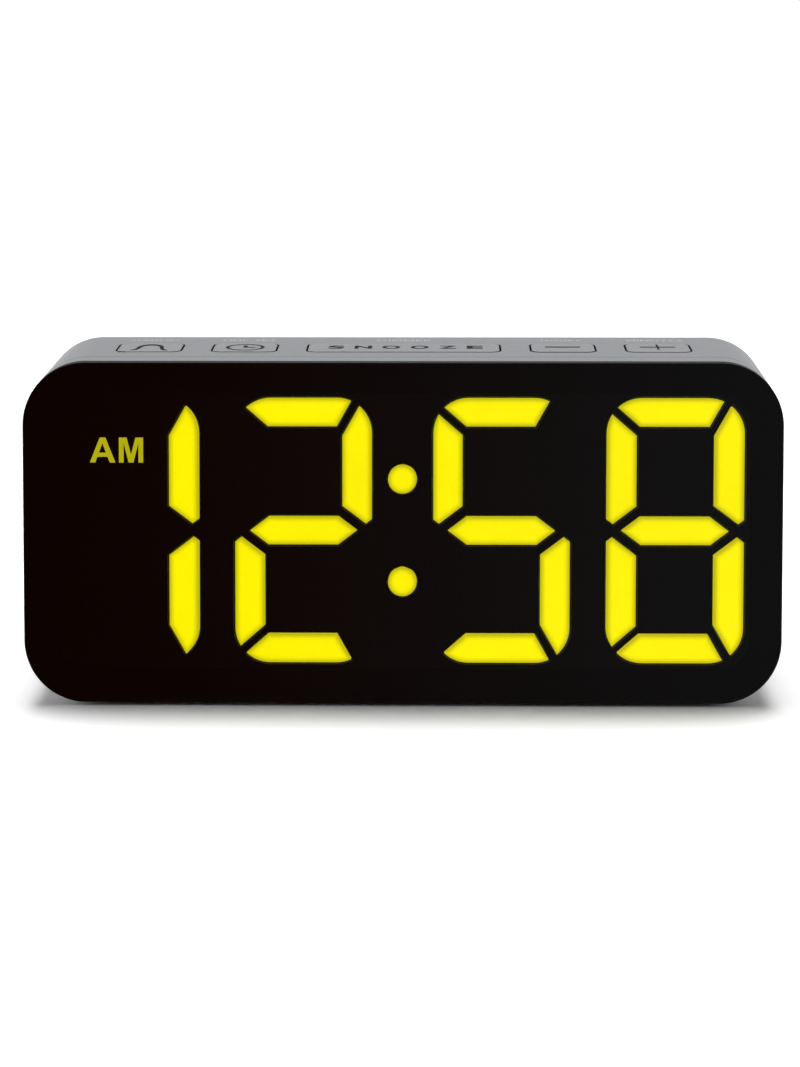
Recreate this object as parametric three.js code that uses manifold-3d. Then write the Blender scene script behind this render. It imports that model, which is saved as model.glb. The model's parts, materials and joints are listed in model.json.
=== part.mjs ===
// Digital alarm clock: a leaning seven-segment display, five keys on top, and at the rear a
// speaker, a low-voltage inlet and a hinged door over the backup cell.
// Millimetres. +Z is up, the display faces -Y, and the origin is the middle of the footprint.
import * as THREE from "three";
import { mergeVertices } from "three/addons/utils/BufferGeometryUtils.js";
import Module from "manifold-3d";

const wasm = await Module();
wasm.setup();

// ---- Driving sizes ----------------------------------------------------------------------

// Display
const digitWidth = 30;
const digitHeight = 58;
const digitRadius = 7.8; // outer corners of a digit
const digitGap = 7.8; // between the digits of a pair
const colonGap = 13.2; // between the pairs
const uprightBar = 6.6;
const endBar = 6.4;
const middleBar = 6.3;
const leftMitre = 41; // angles of the cuts between segments, from the horizontal
const rightMitre = 60.5;
const middleMitre = 37;
const middleMitreRise = 0.8; // the middle cuts pass this far outside the middle bar's corners
const colonDotRadius = 3.25;
const colonDotRise = 11.2; // from the digits' middle line
const indicatorWidth = 12.4; // the AM and PM lights
const indicatorHeight = 6.2;
const indicatorInset = 5.9; // from the tens digit's left edge to the light's left edge
const indicatorRise = 17.5;
const sideMargin = 8.1; // from the outer digits to the case's sides
const topMargin = 7.5;
const bottomMargin = 8.5;

// Case
const lean = 9; // degrees the display leans back
const topDepth = 37.4; // at the top edge
const cornerRadius = 13.5;
const wall = 2.2;
const rearBevel = 1; // round the rear face
const footDrop = 0.7; // how far the feet stand below the case

// Front stack, square to the display
const lensThickness = 2.4;
const tape = 0.1; // adhesive between lens and frame
const frameDepth = 5.4;
const frameWall = 3.4;
const ledgeThickness = 2;
const lipDepth = 2;
const blockDepth = 7.3; // the reflector block behind the lens
const blockBorder = 1.9; // block outside the digits
const blockRadius = 7;
const flangeReach = 1.9; // the block's flange, outside the block
const flangeThickness = 1.8;
const diffuserThickness = 3;
const boardThickness = 1.6;
const boardBorder = 1; // main board outside the digits

// Keys
const keyWidth = 14;
const snoozeWidth = 42.6;
const keyDepth = 11.3;
const keyRadius = 2;
const keyGap = 7.2;
const keySetback = 20.5; // from the lens's top edge to the middle of the keys
const keyProud = 0.1;
const keyTravel = 0.7;
const keyFlange = 1; // reach under the case wall
const keyFlangeThickness = 1.2;
const keyStemRadius = 1.9;
const switchSize = 6.2;
const switchHeight = 4.2;
const switchWell = 2.8;
const keyBoardDepth = 13;
const keyBoardDrop = 11.7; // from the case's top to the key board's top
const keyBoardOverhang = 4.3; // board beyond the outer keys
const cableWidth = 12;
const cableThickness = 0.4;
const cableRise = 12; // of its connector on the main board
const connectorHeight = 3.4;

// Rear fittings
const bossRadius = 2.3;
const bossInset = 4.9; // from the case's rounded corner to a screw's axis
const pilotRadius = 1.25;
const screwRadius = 1.1;
const screwLength = 14;
const screwHeadRadius = 2.2;
const screwHeadHeight = 1.6;
const screwRecessDepth = 3;
const screwSeatThickness = 1.8;
const speakerRadius = 14;
const speakerDepth = 6;
const magnetRadius = 7.5;
const magnetDepth = 3.5;
const speakerX = -48;
const speakerZ = 32;
const slotWidth = 1.8;
const slotPitch = 4.2;
const slotRows = 5;
const inletWidth = 9;
const inletHeight = 10.5;
const inletDepth = 12;
const inletBore = 3.15;
const inletBoreDepth = 9.5;
const inletPinRadius = 1;
const inletPinSetback = 2.2;
const inletX = 56;
const inletZ = 13;
const bayWidth = 32;
const bayHeight = 31;
const bayDepth = 10.2; // inside, from the wall's inner face
const bayZ = 13; // bottom of the bay
const bayWall = 2;
const doorThickness = 2;
const barrelRadius = 1.6;
const pinRadius = 0.8;
const pinLength = 1.5;
const cellRadius = 10;
const cellThickness = 3.2;
const contactThickness = 0.4;
const footRadius = 4.5;
const footRecess = 0.8;
const footX = 60;
const footRearInset = 7.5;
const footFrontInset = 14; // from the case's front bottom edge

// Clearances
const fit = 0.3; // round a piece that sits in a hole, and between pieces cut on a slant
const keyFit = 0.45; // round a key in the case's top
const pinFit = 0.3; // round the door's pins

// ---- Worked out -------------------------------------------------------------------------

const radians = Math.PI / 180;
const slope = Math.tan(lean * radians);
const upright = Math.cos(lean * radians);
const caseWidth = 4 * digitWidth + 2 * digitGap + colonGap + 2 * sideMargin;
const caseHeight = (digitHeight + topMargin + bottomMargin) * upright;
const bottomZ = footDrop;
const topZ = bottomZ + caseHeight;
const middleZ = (bottomZ + topZ) / 2;
const rearY = (topDepth + caseHeight * slope) / 2;
const innerRearY = rearY - wall;
const frontTopY = rearY - topDepth;
const frontMiddleY = frontTopY - (caseHeight / 2) * slope;
const digitRise = (bottomMargin - topMargin) / 2;

// Distances behind the lens's face, square to it
const frameFront = lensThickness + tape;
const seam = frameFront + frameDepth;
const blockFront = lensThickness + fit;
const blockBack = blockFront + blockDepth;
const boardFront = blockBack + fit;
const boardBack = boardFront + boardThickness;

// The display's own frame: X right, Y up along the lens, Z out of it
const displayFrame = new THREE.Matrix4()
  .makeRotationX((90 - lean) * radians)
  .setPosition(0, frontMiddleY, middleZ);

const group = new THREE.Group();

// ---- Shapes -----------------------------------------------------------------------------

function solid(geometry) {
  const bare = geometry.index ? geometry.toNonIndexed() : geometry.clone();
  bare.deleteAttribute("normal");
  bare.deleteAttribute("uv");
  const merged = mergeVertices(bare, 1e-4);
  return new wasm.Manifold(
    new wasm.Mesh({
      numProp: 3,
      vertProperties: merged.attributes.position.array,
      triVerts: new Uint32Array(merged.index.array),
    }),
  );
}

function add(name, made, color, roughness, metalness = 0) {
  const { vertProperties, triVerts } = made.getMesh();
  const geometry = new THREE.BufferGeometry();
  geometry.setAttribute("position", new THREE.BufferAttribute(vertProperties, 3));
  geometry.setIndex(new THREE.BufferAttribute(triVerts, 1));
  const material = new THREE.MeshStandardMaterial({ color, roughness, metalness });
  const mesh = new THREE.Mesh(geometry, material);
  mesh.name = name;
  group.add(mesh);
}

function roundedRectangle(width, height, radius) {
  const x = width / 2 - radius;
  const y = height / 2 - radius;
  const shape = new THREE.Shape();
  shape.absarc(x, -y, radius, -Math.PI / 2, 0);
  shape.absarc(x, y, radius, 0, Math.PI / 2);
  shape.absarc(-x, y, radius, Math.PI / 2, Math.PI);
  shape.absarc(-x, -y, radius, Math.PI, 1.5 * Math.PI);
  shape.closePath();
  return shape;
}

function prism(shape, from, to, curveSegments = 4) {
  const depth = to - from;
  return new THREE.ExtrudeGeometry(shape, { depth, curveSegments, bevelEnabled: false }).translate(
    0,
    0,
    from,
  );
}

// A shape drawn in X and Z, standing on Y from one value to the other
function alongY(shape, from, to, x, z, curveSegments) {
  return solid(
    prism(shape, 0, to - from, curveSegments)
      .rotateX(Math.PI / 2)
      .translate(x, to, z),
  );
}

function box(x0, x1, y0, y1, z0, z1) {
  return solid(
    new THREE.BoxGeometry(x1 - x0, y1 - y0, z1 - z0).translate(
      (x0 + x1) / 2,
      (y0 + y1) / 2,
      (z0 + z1) / 2,
    ),
  );
}

function rodAlongX(x0, x1, y, z, radius, sides = 20) {
  return solid(
    new THREE.CylinderGeometry(radius, radius, x1 - x0, sides)
      .rotateZ(Math.PI / 2)
      .translate((x0 + x1) / 2, y, z),
  );
}

function rodAlongY(x, y0, y1, z, radius, sides = 24) {
  return solid(
    new THREE.CylinderGeometry(radius, radius, y1 - y0, sides).translate(x, (y0 + y1) / 2, z),
  );
}

function rodAlongZ(x, y, z0, z1, radius, sides = 24) {
  return solid(
    new THREE.CylinderGeometry(radius, radius, z1 - z0, sides)
      .rotateX(Math.PI / 2)
      .translate(x, y, (z0 + z1) / 2),
  );
}

// A shape drawn on the display, from one distance behind the lens's face to another
function inDisplay(shape, near, far, x = 0, y = 0, curveSegments = 4) {
  return solid(
    prism(shape, -far, -near, curveSegments).translate(x, y, 0).applyMatrix4(displayFrame),
  );
}

function displayBox(x, y, width, height, near, far) {
  return solid(
    new THREE.BoxGeometry(width, height, far - near)
      .translate(x, y, -(near + far) / 2)
      .applyMatrix4(displayFrame),
  );
}

// The case's section, moved in by an inset, from one Y to another
function caseBody(inset, from, to) {
  const outline = roundedRectangle(
    caseWidth - 2 * inset,
    caseHeight - 2 * inset,
    cornerRadius - inset,
  );
  return alongY(outline, from, to, 0, middleZ, 12);
}

// Everything between two planes parallel to the lens
function leaningSlab(near, far) {
  return displayBox(0, 0, 2 * caseWidth, 3 * caseHeight, near, far);
}

// ---- Places shared by several pieces ----------------------------------------------------

// Far enough in front of the case for a solid that is then cut by the leaning planes
const outsideY = 2 * rearY;
const corners = [
  ["upper_left", -1, 1],
  ["upper_right", 1, 1],
  ["lower_left", -1, -1],
  ["lower_right", 1, -1],
].map(([name, sideX, sideZ]) => {
  const reach = (cornerRadius - bossInset) * Math.SQRT1_2 - cornerRadius;
  return {
    name,
    x: sideX * (caseWidth / 2 + reach),
    z: middleZ + sideZ * (caseHeight / 2 + reach),
  };
});
const screwSeatY = rearY - screwRecessDepth;
const towerFrontY = screwSeatY - screwSeatThickness;
const bossEndY = towerFrontY - fit;

function rods(radius, from, to) {
  return corners
    .map(({ x, z }) => rodAlongY(x, from, to, z, radius))
    .reduce((all, rod) => all.add(rod));
}

const digitCentre = (colonGap + digitWidth) / 2;
const digitPitch = digitWidth + digitGap;
const digits = [
  { name: "hour_tens", x: -digitCentre - digitPitch, segments: "bc", lit: "bc" },
  { name: "hour_units", x: -digitCentre, segments: "abcdefg", lit: "abdeg" },
  { name: "minute_tens", x: digitCentre, segments: "abcdefg", lit: "acdfg" },
  { name: "minute_units", x: digitCentre + digitPitch, segments: "abcdefg", lit: "abcdefg" },
];
const displayWidth = 2 * digitCentre + 2 * digitPitch + digitWidth;
const blockWidth = displayWidth + 2 * blockBorder;
const blockHeight = digitHeight + 2 * blockBorder;

const keySpan = 4 * keyWidth + snoozeWidth + 4 * keyGap;
const keyY = frontTopY + keySetback;
const keys = [];
let keyEdge = -keySpan / 2;
for (const name of ["alarm", "time", "snooze", "minus", "plus"]) {
  const width = name === "snooze" ? snoozeWidth : keyWidth;
  keys.push({ name, width, x: keyEdge + width / 2 });
  keyEdge += width + keyGap;
}
const keyFlangeTop = topZ - wall - 0.2;
const keyFlangeBottom = keyFlangeTop - keyFlangeThickness;
const keyBoardTop = topZ - keyBoardDrop;
const keyBoardBottom = keyBoardTop - boardThickness;
const keyBoardHalf = keySpan / 2 + keyBoardOverhang;
const keyBoardFront = keyY - keyBoardDepth / 2;
const keyBoardRear = keyY + keyBoardDepth / 2;
const wellBottom = keyBoardTop + switchHeight - switchWell;

// The face of the cable's connector, which stands on the back of the main board
const connectorFace = boardBack + connectorHeight;
const connectorZ = middleZ + cableRise * upright - connectorFace * slope * upright;
const connectorY = frontMiddleY + (connectorZ - middleZ) * slope + connectorFace / upright;

const hingeY = rearY - barrelRadius;
const hingeZ = bayZ + barrelRadius + fit;
const bayTop = bayZ + bayHeight;
const bayFloorY = innerRearY - bayDepth;
const cellZ = bayTop - cellRadius - 4;
const cellFrontY = bayFloorY + contactThickness;

const frontBottomY = -rearY;
const feet = [
  ["front_left", -footX, frontBottomY + footFrontInset],
  ["front_right", footX, frontBottomY + footFrontInset],
  ["rear_left", -footX, rearY - footRearInset],
  ["rear_right", footX, rearY - footRearInset],
];

// ---- Segments ---------------------------------------------------------------------------

// Lines that bound the upper segments of a digit: a point on the line, the direction in degrees
// of the side that is kept, and the distance kept back from the line.
const innerX = digitWidth / 2 - uprightBar;
const innerY = digitHeight / 2 - endBar;
const middleY = middleBar / 2;
const mitreY = middleY + middleMitreRise;
const middleBack = 1.1;
const rightBack = 0.93;
const boundaries = {
  a: [
    [0, innerY, 90, 0],
    [-innerX, innerY, 90 - leftMitre, 0.41],
    [innerX, innerY, 90 + rightMitre, rightBack],
  ],
  b: [
    [innerX, 0, 0, 0],
    [innerX, innerY, rightMitre - 90, rightBack],
    [innerX, mitreY, 90 - middleMitre, middleBack],
    [innerX, -mitreY, 90 + middleMitre, middleBack],
  ],
  f: [
    [-innerX, 0, 180, 0],
    [-innerX, innerY, 270 - leftMitre, 1.34],
    [-innerX, mitreY, 90 + middleMitre, middleBack],
    [-innerX, -mitreY, 90 - middleMitre, middleBack],
  ],
  g: [
    [0, middleY, -90, 0],
    [0, -middleY, 90, 0],
    [-innerX, mitreY, middleMitre - 90, middleBack],
    [-innerX, -mitreY, 90 - middleMitre, middleBack],
    [innerX, mitreY, -90 - middleMitre, middleBack],
    [innerX, -mitreY, 90 + middleMitre, middleBack],
  ],
};
const mirrorOf = { d: "a", c: "b", e: "f" };

// The part of a convex outline on the kept side of a line
function clip(points, [lineX, lineY, direction, back], grow) {
  const normalX = Math.cos(direction * radians);
  const normalY = Math.sin(direction * radians);
  const inside = (p) => (p.x - lineX) * normalX + (p.y - lineY) * normalY - back + grow;
  const kept = [];
  points.forEach((point, i) => {
    const next = points[(i + 1) % points.length];
    const here = inside(point);
    const there = inside(next);
    if (here >= 0) kept.push(point);
    if (here * there < 0) kept.push(point.clone().lerp(next, here / (here - there)));
  });
  return kept;
}

// The outline of one segment about the digit's middle, with every edge moved out by grow
function segmentOutline(letter, grow) {
  const source = mirrorOf[letter] ?? letter;
  const whole = roundedRectangle(
    digitWidth + 2 * grow,
    digitHeight + 2 * grow,
    digitRadius + grow,
  ).getPoints(7);
  let points = whole.slice(0, -1);
  for (const line of boundaries[source]) points = clip(points, line, grow);
  if (letter !== source) {
    points = points.map((p) => new THREE.Vector2(p.x, -p.y)).reverse();
  }
  return new THREE.Shape(points);
}

// The middle of a segment, for its light
function segmentMiddle(letter) {
  const points = segmentOutline(letter, 0).getPoints();
  const bounds = new THREE.Box2().setFromPoints(points);
  return bounds.getCenter(new THREE.Vector2());
}

function circle(radius) {
  return new THREE.Shape().absarc(0, 0, radius, 0, 2 * Math.PI);
}

const indicatorX = digits[0].x - digitWidth / 2 + indicatorInset + indicatorWidth / 2;
const indicator = (grow) =>
  roundedRectangle(indicatorWidth + 2 * grow, indicatorHeight + 2 * grow, 0.8 + grow);

// Every light of the display: where it is, its outline and whether it shows
const lights = [];
for (const digit of digits) {
  for (const letter of digit.segments) {
    const middle = segmentMiddle(letter);
    lights.push({
      name: `${digit.name}_segment_${letter}`,
      x: digit.x,
      y: digitRise,
      ledX: digit.x + middle.x,
      ledY: digitRise + middle.y,
      outline: (grow) => segmentOutline(letter, grow),
      lit: digit.lit.includes(letter),
    });
  }
}
const singleLights = [
  ["colon_dot_upper", 0, colonDotRise, (grow) => circle(colonDotRadius + grow), true],
  ["colon_dot_lower", 0, -colonDotRise, (grow) => circle(colonDotRadius + grow), true],
  ["am_indicator", indicatorX, indicatorRise, indicator, true],
  ["pm_indicator", indicatorX, -indicatorRise, indicator, false],
];
for (const [name, x, rise, outline, lit] of singleLights) {
  const y = digitRise + rise;
  lights.push({ name, x, y, ledX: x, ledY: y, outline, lit });
}

// ---- Colours ----------------------------------------------------------------------------

const silver = 0xb9babb;
const black = 0x121212;
const boardGreen = 0x1f5a34;
const steel = 0xb8bcc0;

// ---- Front: lens, frame and display -----------------------------------------------------

const lens = caseBody(0, -outsideY, rearY).intersect(leaningSlab(0, lensThickness));
add("front_lens", lens, black, 0.12);

const blockShape = (grow) =>
  roundedRectangle(blockWidth + 2 * grow, blockHeight + 2 * grow, blockRadius + grow);

function frontFrame() {
  const inHousing = caseBody(wall + fit, -outsideY, rearY);
  const bore = caseBody(frameWall, -outsideY, rearY).intersect(
    leaningSlab(frameFront + ledgeThickness, caseHeight),
  );
  const rim = caseBody(0, -outsideY, rearY).intersect(leaningSlab(frameFront, seam));
  const lip = inHousing.intersect(leaningSlab(seam - ledgeThickness, seam + lipDepth));
  const bosses = rods(bossRadius, -outsideY, bossEndY)
    .intersect(inHousing)
    .subtract(leaningSlab(-caseHeight, frameFront + ledgeThickness / 2));
  const pilots = rods(pilotRadius, bossEndY - screwLength, bossEndY + fit);
  return rim
    .add(lip)
    .subtract(bore)
    .subtract(inDisplay(blockShape(fit), 0, 2 * seam, 0, digitRise))
    .add(bosses)
    .subtract(pilots);
}
add("front_frame", frontFrame(), silver, 0.42);

const bossRoom = rods(bossRadius + fit, -outsideY, rearY);
const pegs = [-1, 1].flatMap((sideX) =>
  [-1, 1].map((sideY) => ({
    x: sideX * (digitCentre + digitPitch / 2),
    y: digitRise + sideY * (digitHeight / 2 - endBar - 6),
  })),
);
const pegRadius = 1.2;
const pegLength = 1.2; // beyond the main board

function displayHousing() {
  const flangeFront = frameFront + ledgeThickness + fit;
  const flange = roundedRectangle(
    blockWidth + 2 * flangeReach,
    blockHeight + 2 * flangeReach,
    cornerRadius - frameWall,
  );
  let made = inDisplay(blockShape(0), blockFront, blockBack, 0, digitRise).add(
    inDisplay(flange, flangeFront, flangeFront + flangeThickness, 0, digitRise),
  );
  made = made.subtract(bossRoom);
  for (const { x, y, outline } of lights) {
    made = made.subtract(inDisplay(outline(fit), 0, 2 * blockBack, x, y));
  }
  for (const { x, y } of pegs) {
    made = made.add(inDisplay(circle(pegRadius), blockBack - 1, boardBack + pegLength, x, y, 8));
  }
  return made;
}
add("display_housing", displayHousing(), black, 0.5);

const diffuserFront = blockFront + 0.2;
for (const { name, x, y, outline, lit } of lights) {
  add(
    name,
    inDisplay(outline(0), diffuserFront, diffuserFront + diffuserThickness, x, y, 8),
    lit ? 0xfdf200 : 0x1a1a12,
    0.45,
  );
}

function mainBoard() {
  const width = displayWidth + 2 * boardBorder;
  const height = digitHeight + 2 * boardBorder;
  let made = displayBox(0, digitRise, width, height, boardFront, boardBack).subtract(bossRoom);
  for (const { x, y } of pegs) {
    const hole = circle(pegRadius + fit);
    made = made.subtract(inDisplay(hole, boardFront - 1, boardBack + 1, x, y, 8));
  }
  // Light-emitting chips on the front, then the controller, its driver, the cable and lead
  // connectors and two capacitors on the back
  for (const { ledX, ledY } of lights) {
    made = made.add(displayBox(ledX, ledY, 2.6, 1.8, boardFront - 1.1, boardFront + 0.2));
  }
  const backParts = [
    [-14, -10, 13, 8, 1.8],
    [20, -12, 10, 6, 1.6],
    [0, cableRise, cableWidth + 3, 4, connectorHeight],
    [-30, 8, 8, 4, 4],
    [46, -14, 8, 4, 4],
  ];
  for (const [x, y, partWidth, partHeight, rise] of backParts) {
    made = made.add(displayBox(x, y, partWidth, partHeight, boardBack - 0.2, boardBack + rise));
  }
  for (const x of [34, 41]) {
    made = made.add(inDisplay(circle(2.6), boardBack - 0.2, boardBack + 6, x, 2, 8));
  }
  return made;
}
add("main_board", mainBoard(), boardGreen, 0.6);

// ---- Keys, their switches and board -----------------------------------------------------

function key({ x, width }) {
  const cap = roundedRectangle(width, keyDepth, keyRadius);
  const flange = roundedRectangle(
    width + 2 * keyFlange,
    keyDepth + 2 * keyFlange,
    keyRadius + keyFlange,
  );
  const stemTip = wellBottom + keyTravel + 0.2;
  return solid(prism(cap, keyFlangeBottom, topZ + keyProud).translate(x, keyY, 0))
    .add(solid(prism(flange, keyFlangeBottom, keyFlangeTop).translate(x, keyY, 0)))
    .add(rodAlongZ(x, keyY, stemTip, keyFlangeBottom + 0.5, keyStemRadius, 16));
}

function tactSwitch({ x }) {
  const half = switchSize / 2;
  const top = keyBoardTop + switchHeight;
  const body = box(x - half, x + half, keyY - half, keyY + half, keyBoardTop, top);
  const well = rodAlongZ(x, keyY, wellBottom, topZ, keyStemRadius + fit, 16);
  return body.subtract(well);
}

for (const item of keys) {
  add(`${item.name}_key`, key(item), silver, 0.4);
  add(`${item.name}_switch`, tactSwitch(item), 0x2a2a2a, 0.5);
}

add(
  "key_board",
  box(-keyBoardHalf, keyBoardHalf, keyBoardFront, keyBoardRear, keyBoardBottom, keyBoardTop),
  boardGreen,
  0.6,
);

// The flat cable drops from the key board, then runs forward to its connector
function keyCable() {
  const half = cableWidth / 2;
  const dropY = keyBoardFront + 1;
  const low = connectorZ - cableThickness / 2;
  const high = low + cableThickness;
  return box(-half, half, dropY, dropY + 5, keyBoardBottom - cableThickness, keyBoardBottom)
    .add(box(-half, half, dropY, dropY + cableThickness, low, keyBoardBottom))
    .add(box(-half, half, connectorY + fit, dropY + cableThickness, low, high));
}
add("key_cable", keyCable(), 0xd8d8d0, 0.6);

// ---- Rear housing -----------------------------------------------------------------------

const keyHoles = keys
  .map(({ x, width }) => {
    const hole = roundedRectangle(
      width + 2 * keyFit,
      keyDepth + 2 * keyFit,
      keyRadius + keyFit,
    );
    return solid(prism(hole, topZ - 2 * wall, topZ + wall).translate(x, keyY, 0));
  })
  .reduce((all, hole) => all.add(hole));

function housingShell() {
  const outline = roundedRectangle(
    caseWidth - 2 * rearBevel,
    caseHeight - 2 * rearBevel,
    cornerRadius - rearBevel,
  );
  // The bevelled block ends flush with the rear; its other end lies in front of the seam
  const bevelled = new THREE.ExtrudeGeometry(outline, {
    depth: 3 * rearY - rearBevel,
    curveSegments: 12,
    bevelThickness: rearBevel,
    bevelSize: rearBevel,
    bevelSegments: 2,
  })
    .rotateX(Math.PI / 2)
    .translate(0, rearY - rearBevel, middleZ);
  return solid(bevelled)
    .subtract(caseBody(wall, -outsideY, innerRearY))
    .subtract(leaningSlab(-2 * caseWidth, seam));
}

function batteryBay() {
  const half = bayWidth / 2;
  const room = box(-half, half, bayFloorY, rearY + wall, bayZ, bayTop);
  const walls = box(
    -half - bayWall,
    half + bayWall,
    bayFloorY - bayWall,
    innerRearY + 0.5,
    bayZ - bayWall,
    bayTop + bayWall,
  );
  const cradle = rodAlongY(0, bayFloorY - 0.5, cellFrontY + 2.4, cellZ, cellRadius + 1.5, 32)
    .subtract(rodAlongY(0, bayFloorY - 1, rearY, cellZ, cellRadius + fit, 32))
    .subtract(box(-4, 4, bayFloorY, rearY, cellZ, bayTop));
  const pinReach = half + pinLength + fit;
  const pinHoles = rodAlongX(-pinReach, pinReach, hingeY, hingeZ, pinRadius + pinFit);
  return { room, walls, cradle, pinHoles };
}

function slots() {
  const halfSpan = ((slotRows - 1) / 2) * slotPitch;
  const all = [];
  for (let row = 0; row < slotRows; row += 1) {
    const rise = row * slotPitch - halfSpan;
    const length = 2 * Math.sqrt((speakerRadius - 2) ** 2 - rise ** 2);
    const slot = roundedRectangle(length, slotWidth, slotWidth / 2 - 0.01);
    all.push(alongY(slot, innerRearY - 1, rearY + 1, speakerX, speakerZ + rise, 4));
  }
  return all.reduce((made, slot) => made.add(slot));
}

function rearHousing() {
  const bay = batteryBay();
  const towers = rods(bossRadius + 1.3, towerFrontY, innerRearY + 0.5).intersect(
    caseBody(wall / 2, -outsideY, rearY - wall / 2),
  );
  const ringFront = innerRearY - 4;
  const ringRadius = speakerRadius + 1.6;
  const speakerRing = rodAlongY(
    speakerX,
    ringFront,
    innerRearY + 0.5,
    speakerZ,
    ringRadius,
    40,
  ).subtract(rodAlongY(speakerX, -outsideY, innerRearY, speakerZ, speakerRadius + fit, 40));
  let made = housingShell().add(bay.walls).add(towers).add(speakerRing);

  // Shelves and fingers that hold the key board
  for (const side of [-1, 1]) {
    const x = side * (keyBoardHalf - 8);
    const shelf = box(
      x - 1.5,
      x + 1.5,
      keyBoardFront + 2,
      innerRearY + 0.5,
      keyBoardBottom - 3,
      keyBoardBottom,
    );
    const finger = box(
      x - 1.5,
      x + 1.5,
      keyBoardRear - 1.2,
      innerRearY + 0.5,
      keyBoardTop + 0.2,
      keyBoardTop + 1.6,
    );
    made = made.add(shelf).add(finger);
  }

  // Ribs beside the inlet
  for (const side of [-1, 1]) {
    const x = inletX + side * (inletWidth / 2 + fit + 0.7);
    const ribFront = innerRearY - 10;
    made = made.add(
      box(x - 0.7, x + 0.7, ribFront, innerRearY + 0.5, bottomZ + wall / 2, inletZ + 3),
    );
  }

  made = made
    .subtract(bay.room)
    .add(bay.cradle)
    .subtract(bay.pinHoles)
    .subtract(keyHoles)
    .subtract(slots())
    .subtract(rods(screwHeadRadius + 0.4, screwSeatY, rearY + wall))
    .subtract(rods(screwRadius + 0.25, towerFrontY - 1, rearY))
    .subtract(rodAlongY(inletX, innerRearY - 0.5, rearY + 1, inletZ, inletBore + 1, 32));
  for (const [, x, y] of feet) {
    made = made.subtract(rodAlongZ(x, y, 0, bottomZ + footRecess, footRadius + fit, 32));
  }
  return made;
}
add("rear_housing", rearHousing(), silver, 0.42);

// ---- Rear fittings ----------------------------------------------------------------------

function batteryDoor() {
  const half = bayWidth / 2 - fit;
  const top = bayTop - fit;
  const plate = box(-half, half, rearY - doorThickness, rearY, hingeZ, top);
  const barrel = rodAlongX(-half, half, hingeY, hingeZ, barrelRadius, 24);
  const pins = rodAlongX(-half - pinLength, half + pinLength, hingeY, hingeZ, pinRadius);
  const catchTongue = box(-4, 4, rearY - doorThickness - 1.6, rearY - 1, top - 1.4, top);
  const ribs = [-1, 1]
    .map((side) => {
      const x = side * (half - 2.5);
      return box(x - 0.5, x + 0.5, rearY - doorThickness - 1, rearY - 1, hingeZ + 4, top - 3);
    })
    .reduce((all, rib) => all.add(rib));
  const grip = box(-6, 6, rearY - 0.8, rearY + 1, top - 4.5, top - 2);
  return plate.add(barrel).add(pins).add(catchTongue).add(ribs).subtract(grip);
}
add("battery_door", batteryDoor(), silver, 0.42);

// A coin cell: a can, and a smaller cap towards the contact
const cellProfile = [
  [0, 0],
  [8.6, 0],
  [8.6, 0.6],
  [cellRadius - 0.3, 0.6],
  [cellRadius, 0.9],
  [cellRadius, cellThickness - 0.3],
  [cellRadius - 0.3, cellThickness],
  [0, cellThickness],
].map(([radius, height]) => new THREE.Vector2(radius, height));
add(
  "backup_cell",
  solid(new THREE.LatheGeometry(cellProfile, 40).translate(0, cellFrontY, cellZ)),
  steel,
  0.3,
  1,
);
add(
  "cell_contact",
  box(-2.5, 2.5, bayFloorY, bayFloorY + contactThickness, cellZ - 7, cellZ + 7),
  steel,
  0.35,
  1,
);

function cellClip() {
  const foot = cellZ - cellRadius - 4.4;
  const riser = foot + 1.4;
  const over = cellFrontY + cellThickness + 0.1;
  return box(-2.5, 2.5, bayFloorY, bayFloorY + contactThickness, foot, riser + contactThickness)
    .add(box(-2.5, 2.5, bayFloorY, over + contactThickness, riser, riser + contactThickness))
    .add(box(-2.5, 2.5, over, over + contactThickness, riser, cellZ - 4));
}
add("cell_clip", cellClip(), steel, 0.35, 1);

add(
  "speaker",
  rodAlongY(speakerX, innerRearY - speakerDepth, innerRearY, speakerZ, speakerRadius, 40).add(
    rodAlongY(
      speakerX,
      innerRearY - speakerDepth - magnetDepth,
      innerRearY - speakerDepth + 0.5,
      speakerZ,
      magnetRadius,
      28,
    ),
  ),
  0x3a3a3a,
  0.5,
);

function dcInlet() {
  const half = inletWidth / 2;
  const front = innerRearY - inletDepth;
  const low = inletZ - inletHeight / 2;
  const body = box(inletX - half, inletX + half, front, innerRearY, low, low + inletHeight);
  const boreEnd = innerRearY - inletBoreDepth;
  return body
    .subtract(rodAlongY(inletX, boreEnd, rearY, inletZ, inletBore, 32))
    .add(rodAlongY(inletX, boreEnd - 0.5, innerRearY - inletPinSetback, inletZ, inletPinRadius, 16));
}
add("dc_inlet", dcInlet(), 0x161616, 0.45);

for (const { name, x, z } of corners) {
  const top = screwSeatY + screwHeadHeight;
  const shank = rodAlongY(x, screwSeatY - screwLength, screwSeatY + 0.2, z, screwRadius, 16);
  const head = rodAlongY(x, screwSeatY, top, z, screwHeadRadius, 24);
  const cross = box(x - 1.2, x + 1.2, top - 0.9, top + 1, z - 0.3, z + 0.3).add(
    box(x - 0.3, x + 0.3, top - 0.9, top + 1, z - 1.2, z + 1.2),
  );
  add(`case_screw_${name}`, shank.add(head).subtract(cross), steel, 0.35, 1);
}

for (const [name, x, y] of feet) {
  add(`foot_${name}`, rodAlongZ(x, y, 0, bottomZ + footRecess, footRadius, 32), 0x202020, 0.85);
}

export default group;
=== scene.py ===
"""Looks of a digital alarm clock: every shell rebuilt from its CAD solid with rounded edges, lit
segments behind a smoked lens, printed keys, and procedural materials. Metres, in the CAD's frame."""

import json
import math

import bmesh
import bpy
from mathutils import Matrix, Vector


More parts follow.
